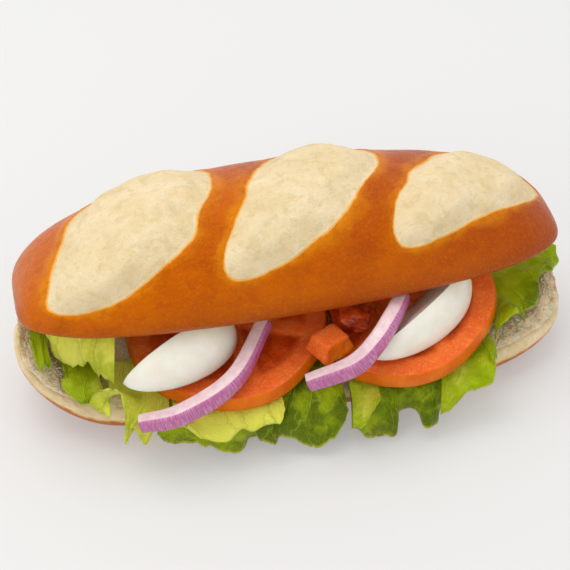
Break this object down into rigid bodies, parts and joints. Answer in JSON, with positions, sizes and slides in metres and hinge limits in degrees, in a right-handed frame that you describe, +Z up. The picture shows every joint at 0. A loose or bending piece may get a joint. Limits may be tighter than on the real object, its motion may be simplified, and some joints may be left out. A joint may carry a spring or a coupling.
{
  "type": "submarine sandwich",
  "caption": "Long slashed roll cut open and filled with tuna spread, lettuce, tomato slices, boiled egg wedges and red onion, lying on its lower bun.",
  "frame": {"origin": "on the ground, under the middle of the whole sandwich's bounding box", "axes": "+X along the roll to the end at the right of the picture, +Y from the open front to the back, +Z up"},
  "size_m": [0.2126, 0.0985, 0.0906],
  "materials": {
    "crust": "glossy",
    "lower_crust": "soft",
    "tuna": "soft",
    "lettuce": "soft",
    "pale_lettuce": "soft",
    "tomato": "glossy",
    "tomato_jelly": "glossy",
    "egg_white": "glossy",
    "red_onion": "glossy"
  },
  "bodies": {
    "root": {"bun_top": "crust", "bun_bottom": "lower_crust", "tuna_spread": "tuna", "tomato_left": "tomato", "tomato_right": "tomato", "tomato_chunk": "tomato", "tomato_jelly": "tomato_jelly", "egg_left": "egg_white", "egg_right": "egg_white", "onion_left": "red_onion", "onion_right": "red_onion", "leaf_left_flap": "lettuce", "leaf_left_fold": "lettuce", "leaf_left_low": "lettuce", "leaf_left_curl": "pale_lettuce", "leaf_pale": "pale_lettuce", "leaf_under": "lettuce", "leaf_middle": "lettuce", "leaf_fold": "pale_lettuce", "leaf_frill": "lettuce", "leaf_frill_right": "lettuce", "leaf_right": "lettuce", "leaf_back_left": "lettuce", "leaf_back_right": "lettuce"}
  },
  "joints": []
}
